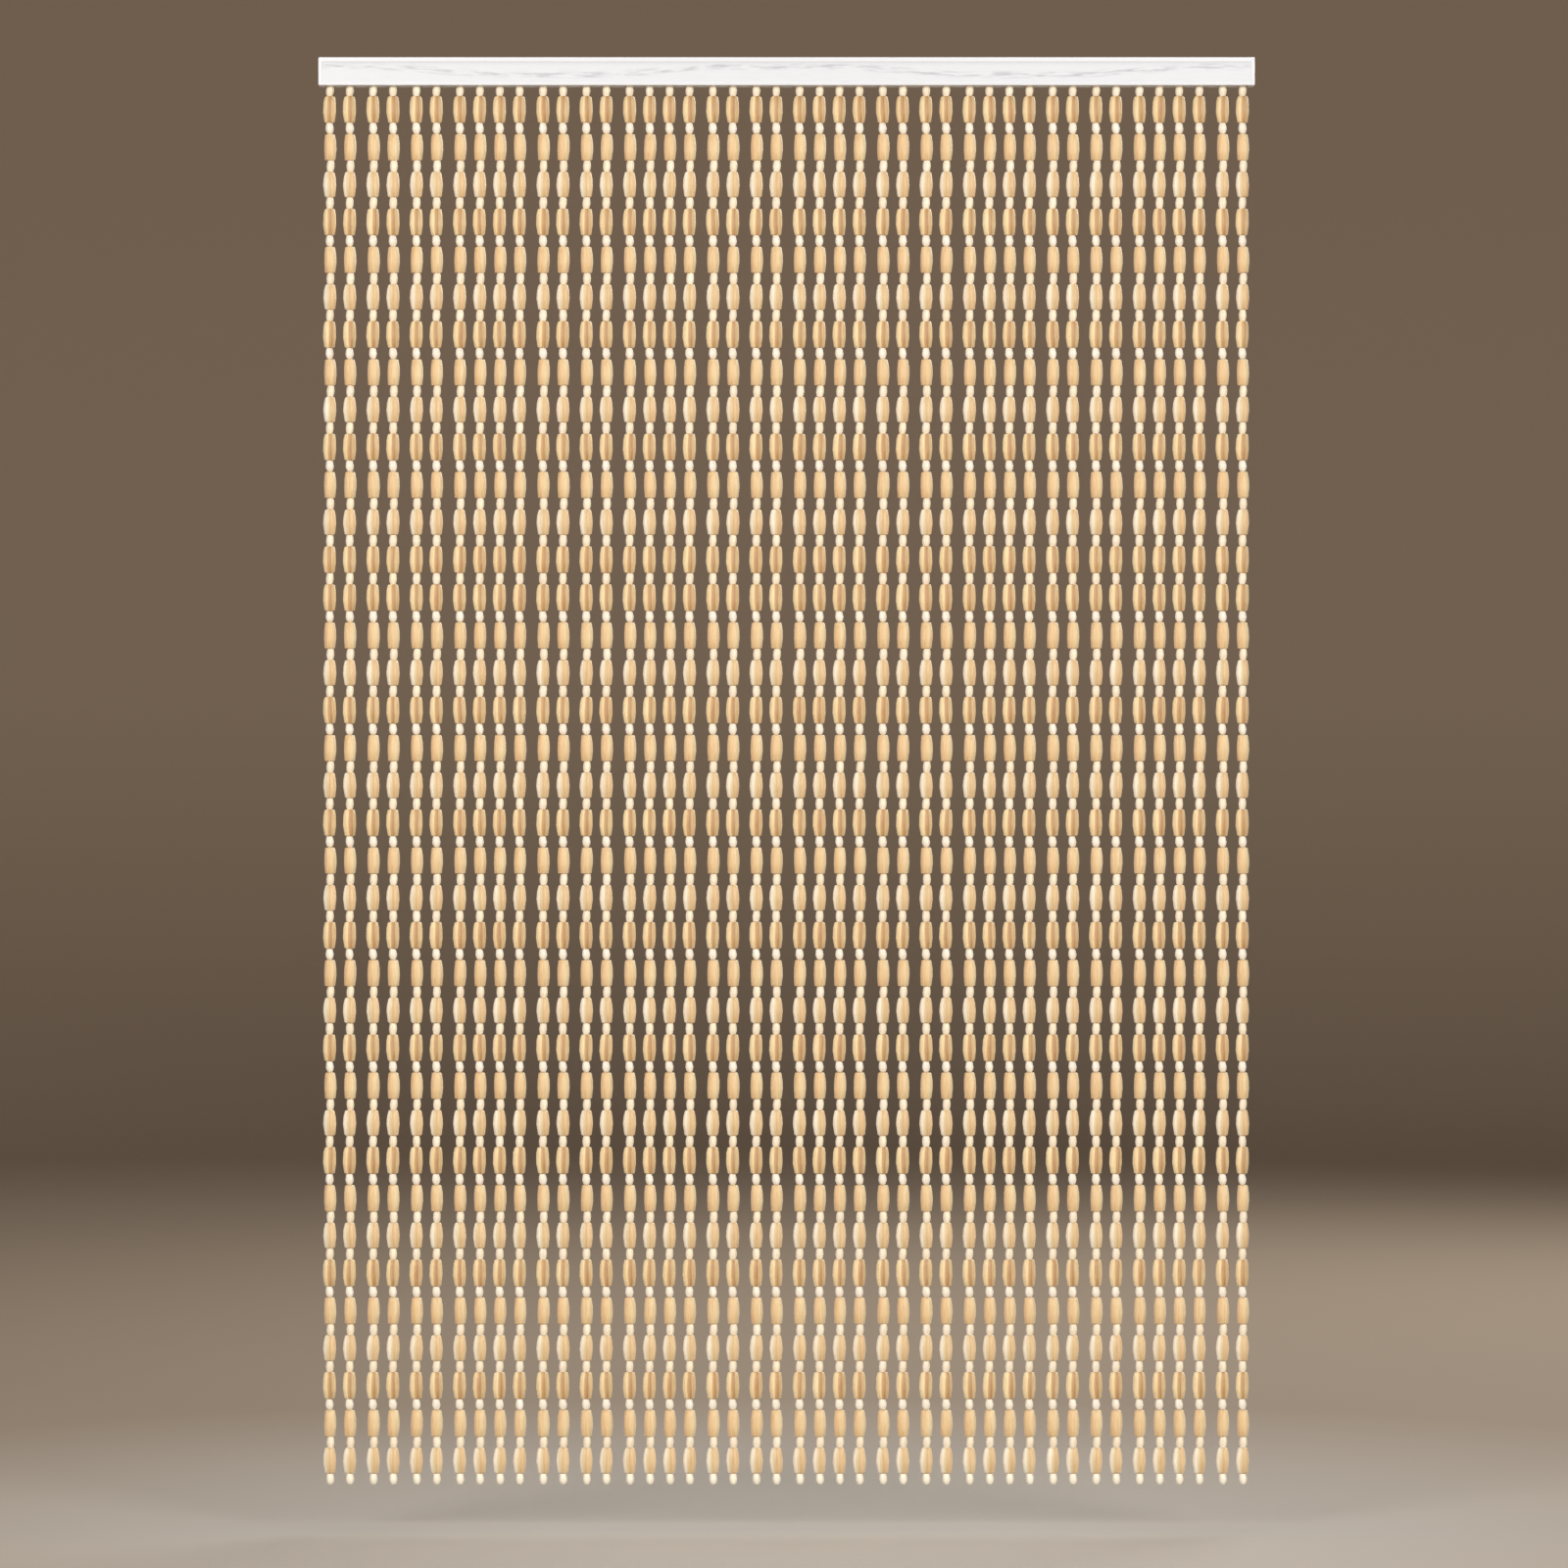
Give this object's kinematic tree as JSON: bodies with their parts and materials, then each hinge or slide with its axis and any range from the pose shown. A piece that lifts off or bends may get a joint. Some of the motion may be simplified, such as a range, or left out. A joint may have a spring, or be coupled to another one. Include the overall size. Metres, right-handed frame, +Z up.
{
  "type": "bead curtain on a rail",
  "caption": "Doorway curtain of straight strings of barrel-shaped wooden beads and small round beads, hanging from a white grooved rail.",
  "frame": {"origin": "middle of the rail's flat top face, where it meets what it hangs from", "axes": "+Z up, with the strings hanging along -Z; X along the rail; -Y the front of the curtain"},
  "size_m": [1.2, 0.03, 1.83],
  "materials": {
    "rail_paint": "white paint with faint grey veins, satin",
    "bead_wood": "sanded pale wood with lengthwise grain, satin",
    "small_bead_white": "smooth white wood, satin",
    "small_bead_cream": "smooth cream wood, satin",
    "bead_string": "off-white twisted thread"
  },
  "bodies": {
    "root": {"rail": "rail_paint", "strings_left": "bead_wood", "strings_right": "bead_wood"}
  },
  "joints": []
}
